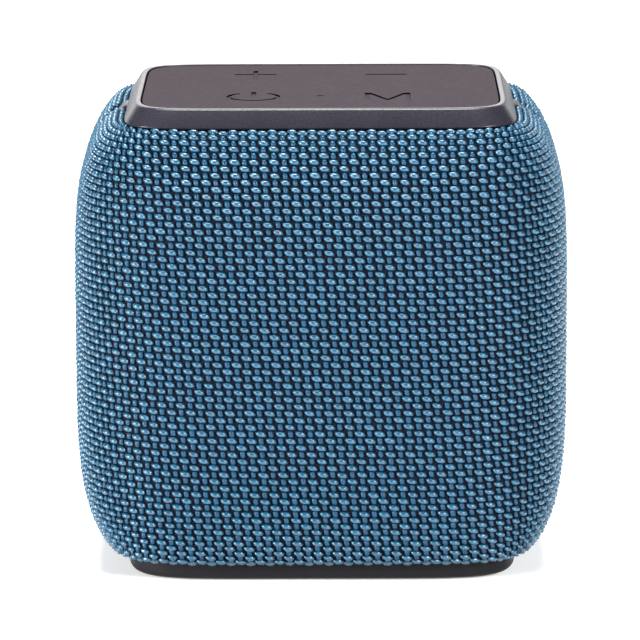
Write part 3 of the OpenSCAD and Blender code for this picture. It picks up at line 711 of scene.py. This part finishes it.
def arc(radius, start, end, steps=40):
    angles = np.radians(np.linspace(start, end, steps + 1))
    return [(radius * math.cos(a), radius * math.sin(a)) for a in angles]


def circle(radius, sides):
    return np.array(arc(radius, 0, 360 - 360 / sides, sides - 1))


def key_marks(name):
    """Outlines of a key's engraved mark."""
    stroke = 0.93
    half = stroke / 2
    if name == "power":
        gap = 34
        return [
            arc(5.02, 90 + gap, 450 - gap) + arc(4.2, 450 - gap, 90 + gap),
            bar(-half, half, 0.4, 5.5),
        ]
    if name == "volume_up":
        arm, rise = 3.93, 4.6
        return [[
            (-arm, -half), (-half, -half), (-half, -rise), (half, -rise), (half, -half), (arm, -half),
            (arm, half), (half, half), (half, rise), (-half, rise), (-half, half), (-arm, half),
        ]]
    if name == "volume_down":
        return [bar(-3.93, 3.93, -half, half)]
    side, top, notch, tip = 4.25, 4.3, 1.25, 4.9
    slope = (top + tip) / side
    inner = top - stroke * slope
    return [[
        (-side, -top), (-side + stroke, -top), (-side + stroke, inner), (0, -tip),
        (side - stroke, inner), (side - stroke, -top), (side, -top), (side, top),
        (side - notch, top), (0, 1.6 - tip), (-side + notch, top), (-side, top),
    ]]


def build_key(name, x, y):
    """A key's engraved middle, and the four strips that join it to the pad."""
    square = np.array(bar(-KEY_HALF, KEY_HALF, -KEY_HALF, KEY_HALF)) + (x, y)
    middle = loft(f"{name}_key_face", [at_height(square, z) for z in (PAD_Z - PAD_T, PAD_Z)], KEYPAD)
    mark_place = (x, y + MARK_BACK.get(name, 0))
    marks = [np.array(mark) + mark_place for mark in key_marks(name)]
    cut(middle, [prism(mark, PAD_Z - ENGRAVE_DEPTH, PAD_Z + 1) for mark in marks])
    shade_engraving(middle, x, y)
    ride_and_replace(middle, f"{name}_key", "key_silicone", f"{name}_key")
    steps = 6
    for turn, label in enumerate(("right", "back", "left", "front")):
        c, s = round(math.cos(turn * math.pi / 2)), round(math.sin(turn * math.pi / 2))
        spin = np.array([[c, -s], [s, c]])
        rings = []
        for k in range(steps + 1):
            out = KEY_HALF + (ZONE_HALF - KEY_HALF) * k / steps
            ends = np.array([(out, -out), (out, out)]) @ spin.T + (x, y)
            rings.append(np.array([
                (*ends[0], PAD_Z - PAD_T), (*ends[1], PAD_Z - PAD_T), (*ends[1], PAD_Z), (*ends[0], PAD_Z),
            ]))
        web = loft(f"{name}_key_web_{label}", rings, KEYPAD)
        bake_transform(web)


def shade_engraving(piece, x, y):
    """The upright walls of an engraved mark get a near-black material, as painted shade."""
    piece.data.materials.append(ENGRAVING_SHADE)
    for face in piece.data.polygons:
        inside = max(abs(face.center.x / MM - x), abs(face.center.y / MM - y)) < KEY_HALF - 0.01
        if abs(face.normal.z) < 0.5 and inside:
            face.material_index = 1


def build_pad():
    """The key pad's flat surround, with its four key zones and the indicator's hole cut out."""
    rings = [
        at_height(superellipse(PANEL_A + out, PANEL_B + out, PANEL_POWER), z)
        for out, z in fillet([(-0.15, PAD_Z - 1.6, 0), (-0.15, PAD_Z, 0.08), (-1, PAD_Z, 0)], 3)[:-1]
    ]
    pad = loft("key_pad", rings, KEYPAD, sharp=9)
    tools = []
    for x, y in KEYS.values():
        square = np.array(bar(-ZONE_HALF, ZONE_HALF, -ZONE_HALF, ZONE_HALF)) + (x, y)
        tools.append(prism(square, PAD_Z - 5, PAD_Z + 5))
    tools.append(prism(circle(LED_R, 24) + (0, LED_Y), PAD_Z - 5, PAD_Z + 5))
    cut(pad, tools)
    ride_and_replace(pad, "root", "key_silicone", "key_panel")
    for name, (x, y) in KEYS.items():
        build_key(name, x, y)


def build_strap_bar(side, label):
    """A flat bar that arches out from under the bezel and down through the cloth."""
    thick, bend = 1.4, 2.1
    curve = [(bend * math.sin(a), bend * math.cos(a)) for a in np.linspace(0, math.pi / 2, 12)]
    path = np.array([(-1.4, bend)] + curve + [(bend, -0.8), (bend, -2.2)])
    rings = []
    for i, (u, v) in enumerate(path):
        ahead = path[min(i + 1, len(path) - 1)] - path[max(i - 1, 0)]
        ahead = ahead / np.linalg.norm(ahead)
        across = np.array([-ahead[1], ahead[0]])
        section = round_rect(LUG_W / 2, thick / 2, 0.4, 4)
        rings.append(np.array([
            (side * (LUG_X + u + across[0] * h), w, LUG_Z + v + across[1] * h) for w, h in section
        ]))
    made = loft(f"strap_bar_{label}", rings, BEZEL, sharp=50)
    ride_and_replace(made, "root", "bezel_plastic", f"strap_lug_{label}")


# ---------- base and feet ----------


FOOT_OUTSIDE, FOOT_INSIDE = (26, 21, 10), (21, 16, 6)      # half-sizes and corner radius of its groove


def build_base():
    """The base's shell, with a groove for the foot and holes for the screws."""
    section = fillet([(0, BASE_TOP, 0), (0, BASE_LOW, 1.1), (-2.2, BASE_LOW, 0)], 6)
    rings = [at_height(superellipse(BASE_A + out, BASE_B + out, BASE_POWER), z) for out, z in section]
    base = loft("base_shell", rings, BASE, sharp=30)
    sides = ((FOOT_OUTSIDE, -1), (FOOT_OUTSIDE, 1), (FOOT_INSIDE, 1), (FOOT_INSIDE, -1))
    tools = [loft("cutter", [at_height(round_rect(*side), z) for side, z in sides], BASE, closed=True)]
    for x, y in SCREW_PLACES:
        tools.append(prism(circle(SCREW_R, 36) + (x, y), -1, SCREW_DEEP))
    cut(base, tools, 30)
    ride_and_replace(base, "root", "base_plastic", "base_cover")


def build_foot():
    """Rubber ring set in the base, with a softened edge and two moulded grooves underneath."""
    top, groove, soft = 0.95, 0.15, 0.05
    section = fillet([
        (0.5, top, 0), (0, top, 0), (0, 0, 0.25),
        (0.3, 0, soft), (0.34, groove, soft), (0.4, groove, soft), (0.44, 0, soft),
        (0.56, 0, soft), (0.6, groove, soft), (0.66, groove, soft), (0.7, 0, soft),
        (1, 0, 0.25), (1, top, 0),
    ], 3)
    slack = 0.1
    outer = round_rect(*(size - slack for size in FOOT_OUTSIDE))
    inner = round_rect(*(size + slack for size in FOOT_INSIDE))
    rings = [at_height(outer * (1 - w) + inner * w, z) for w, z in section]
    foot = loft("foot_rubber_ring", rings, RUBBER, closed=True, sharp=40)
    ride_and_replace(foot, "root", "foot_rubber", "foot_ring")


# ---------- ports ----------


def build_port_plate():
    """Recessed plate round the sockets, with a softened lip."""
    lip_y, floor_y, back_y = 39.8, 37.8, 35.6
    lip_w = 1.5
    section = fillet([
        (lip_w, back_y, 0), (lip_w, lip_y, 0.5), (0, lip_y, 0.3), (0, floor_y, 0.25), (-3, floor_y, 0),
    ], 5)[:-1]
    a, b = PORT_W / 2 + 0.3, PORT_H / 2 + 0.3
    rings = [facing_rear(round_rect(a + o, b + o, 1.2 + o) + (0, PORT_Z), y) for o, y in section]
    plate = loft("port_surround", rings, SLOT_LOOKS["sleeve_plastic"], sharp=40)
    usb = round_rect(*USB_SIZE) + (USB_X, PORT_Z)
    jack = circle(JACK_R, 36) + (JACK_X, PORT_Z)
    cut(plate, [rear_prism(usb, 30, 45), rear_prism(jack, 30, 45)], 35)
    ride_and_replace(plate, "root", "sleeve_plastic", "port_plate")


def build_port_flap():
    """Rubber flap with a finger lip, and the web at its hinge."""
    low, high = HINGE_Z - 0.2, PORT_Z + PORT_H / 2
    a, b, middle = PORT_W / 2, (high - low) / 2, (high + low) / 2
    back_y, groove_y = FLAP_Y - FLAP_T, FLAP_Y - 0.2
    section = fillet([
        (-0.1, back_y + 0.02, 0), (0, back_y + 0.2, 0.1), (0, FLAP_Y, 0.35),
        (-1.1, FLAP_Y, 0.1), (-1.35, groove_y, 0.1), (-1.9, groove_y, 0.1), (-2.15, FLAP_Y, 0.1),
        (-3.5, FLAP_Y, 0),
    ], 4)
    rings = [
        facing_rear(round_rect(a + o, b + o, max(0.3, 0.9 + o)) + (0, middle), y) for o, y in section
    ]
    flap = loft("flap_cover", rings, SLOT_LOOKS["suspension_rubber"], sharp=40)
    ride_and_replace(flap, "flap", "suspension_rubber", "port_flap")
    lip_y, lip_z, lip_a, lip_b = FLAP_Y + 0.45, high - 1.5, 5, 0.65
    lip = fillet([(0, FLAP_Y - 0.3, 0), (0, lip_y, 0.3), (-1, lip_y, 0)], 5)[:-1]
    rings = [
        facing_rear(round_rect(lip_a + o, lip_b + o * 0.9, max(0.1, 0.6 + o)) + (0, lip_z), y) for o, y in lip
    ]
    grip = loft("flap_finger_lip", rings, SLOT_LOOKS["suspension_rubber"], sharp=40)
    ride_and_replace(grip, "flap", "suspension_rubber")
    steps = 8
    web_low, web_high = PORT_Z - PORT_H / 2 - 0.35, HINGE_Z + 0.9
    rings = []
    for k in range(steps + 1):
        z = web_low + (web_high - web_low) * k / steps
        rings.append(at_height(round_rect(a - 3, 0.22, 0.2, 3) + (0, HINGE_Y), z))
    web = loft("flap_web", rings, SLOT_LOOKS["suspension_rubber"], sharp=60)
    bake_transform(web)


# ---------- everything inside ----------


def dress_cad_nodes():
    """Every CAD node that stays gets its slot's finish."""
    for row in frame["record"]["subparts"]:
        node = frame["nodes"][row["node"]]
        look = SLOT_LOOKS[row["material_slot"]]
        if not node.material_slots:
            node.data.materials.append(look)
        for slot in node.material_slots:
            slot.material = look


# ---------- studio ----------

FLOOR_HALF, FLOOR_GLOW = 6000, 0.3
# the world is dim all round and bright toward the rear, as (from y, to y, dim, bright)
REAR_LIGHT = (0.75, 0.98, 0.1, 2.4)
# two grey cards stand in front of it, as (direction x, light left): the bezel's side slopes mirror them
CARDS_X = 0.4
REAR_CARDS = [
    (-0.30, 1.0), (-0.20, 0.55), (-0.13, 0.55), (-0.07, 1.0),
    (0.05, 1.0), (0.10, 0.35), (0.22, 0.3), (0.32, 0.7),
]
# soft boxes aimed at the middle of the speaker, as (place, size, watts), in metres
AIM = (0, 0, 0.045)
SOFT_BOXES = {
    "left_box": ((-0.75, -0.5, 0.2), (0.25, 0.45), 17),
    "right_box": ((0.62, -0.7, 0.46), (0.2, 0.2), 13),
    "top_box": ((0, 0.05, 0.8), (0.45, 0.4), 16),
}


def soft_box(name, place, size, power):
    light = bpy.data.lights.new(name, "AREA")
    light.shape, light.size, light.size_y = "RECTANGLE", *size
    light.energy = power
    made = add_object(name, light)
    made.location = place
    back = np.array(place, float) - np.array(AIM, float)
    made.rotation_euler = (
        math.atan2(math.hypot(back[0], back[1]), back[2]), 0, math.atan2(back[0], -back[1]),
    )


def build_studio():
    """A pale floor that glows a little, a world that is bright toward the rear, and three soft boxes."""
    floor_look = Look("floor", (0.9, 0.9, 0.9), 0.6)
    floor_look.vary_colour(floor_look.noise(400, 2), 0.99, 1.01)
    floor_look.set(emission_color=(1, 1, 1, 1), emission_strength=FLOOR_GLOW)
    corners = at_height(np.array(bar(-FLOOR_HALF, FLOOR_HALF, -FLOOR_HALF, FLOOR_HALF)), 0)
    floor = mesh_object("floor", corners, [[0, 1, 2, 3]], floor_look.material, outward=False)
    world = bpy.data.worlds.new("studio")
    bpy.context.scene.world = world
    world.use_nodes = True
    nodes, links = world.node_tree.nodes, world.node_tree.links
    place = nodes.new("ShaderNodeTexCoord")
    parts = nodes.new("ShaderNodeSeparateXYZ")
    links.new(place.outputs["Generated"], parts.inputs["Vector"])
    depth = nodes.new("ShaderNodeMapRange")
    for name, number in zip(RANGE_SOCKETS, REAR_LIGHT):
        depth.inputs[name].default_value = number
    links.new(parts.outputs["Y"], depth.inputs["Value"])
    across = nodes.new("ShaderNodeMapRange")
    across.inputs["From Min"].default_value, across.inputs["From Max"].default_value = -CARDS_X, CARDS_X
    links.new(parts.outputs["X"], across.inputs["Value"])
    cards = nodes.new("ShaderNodeValToRGB")
    links.new(across.outputs["Result"], cards.inputs["Fac"])
    while len(cards.color_ramp.elements) < len(REAR_CARDS):
        cards.color_ramp.elements.new(0.5)
    for stop, (x, light) in zip(cards.color_ramp.elements, REAR_CARDS):
        stop.position, stop.color = 0.5 + 0.5 * x / CARDS_X, (light, light, light, 1)
    strength = nodes.new("ShaderNodeMath")
    strength.operation = "MULTIPLY"
    links.new(depth.outputs["Result"], strength.inputs[0])
    links.new(cards.outputs["Color"], strength.inputs[1])
    links.new(strength.outputs["Value"], nodes["Background"].inputs["Strength"])
    nodes["Background"].inputs["Color"].default_value = (1, 1, 1, 1)
    for name, (place, size, power) in SOFT_BOXES.items():
        soft_box(name, place, size, power)


def build_camera():
    """The photograph's view: a long lens, a little above the object."""
    pitch, yaw, roll = 0.1973, 0.0035, -0.0035
    camera = bpy.data.cameras.new("camera")
    camera.sensor_width, camera.lens = 36, 285.75
    camera.clip_end = 50
    made = add_object("camera", camera)
    turn = Matrix.Rotation(yaw, 4, "Z") @ Matrix.Rotation(math.pi / 2 - pitch, 4, "X")
    place = Matrix.Translation((0.00303, -0.948, 0.233))
    made.matrix_world = place @ turn @ Matrix.Rotation(roll, 4, "Z")
    bpy.context.scene.camera = made


build_camera()
build_studio()
dress_cad_nodes()
build_cloth()
build_bezel()
build_pad()
for lug_side, lug_label in ((-1, "left"), (1, "right")):
    build_strap_bar(lug_side, lug_label)
build_base()
build_foot()
build_port_plate()
build_port_flap()
bpy.context.scene.view_settings.view_transform = "Standard"
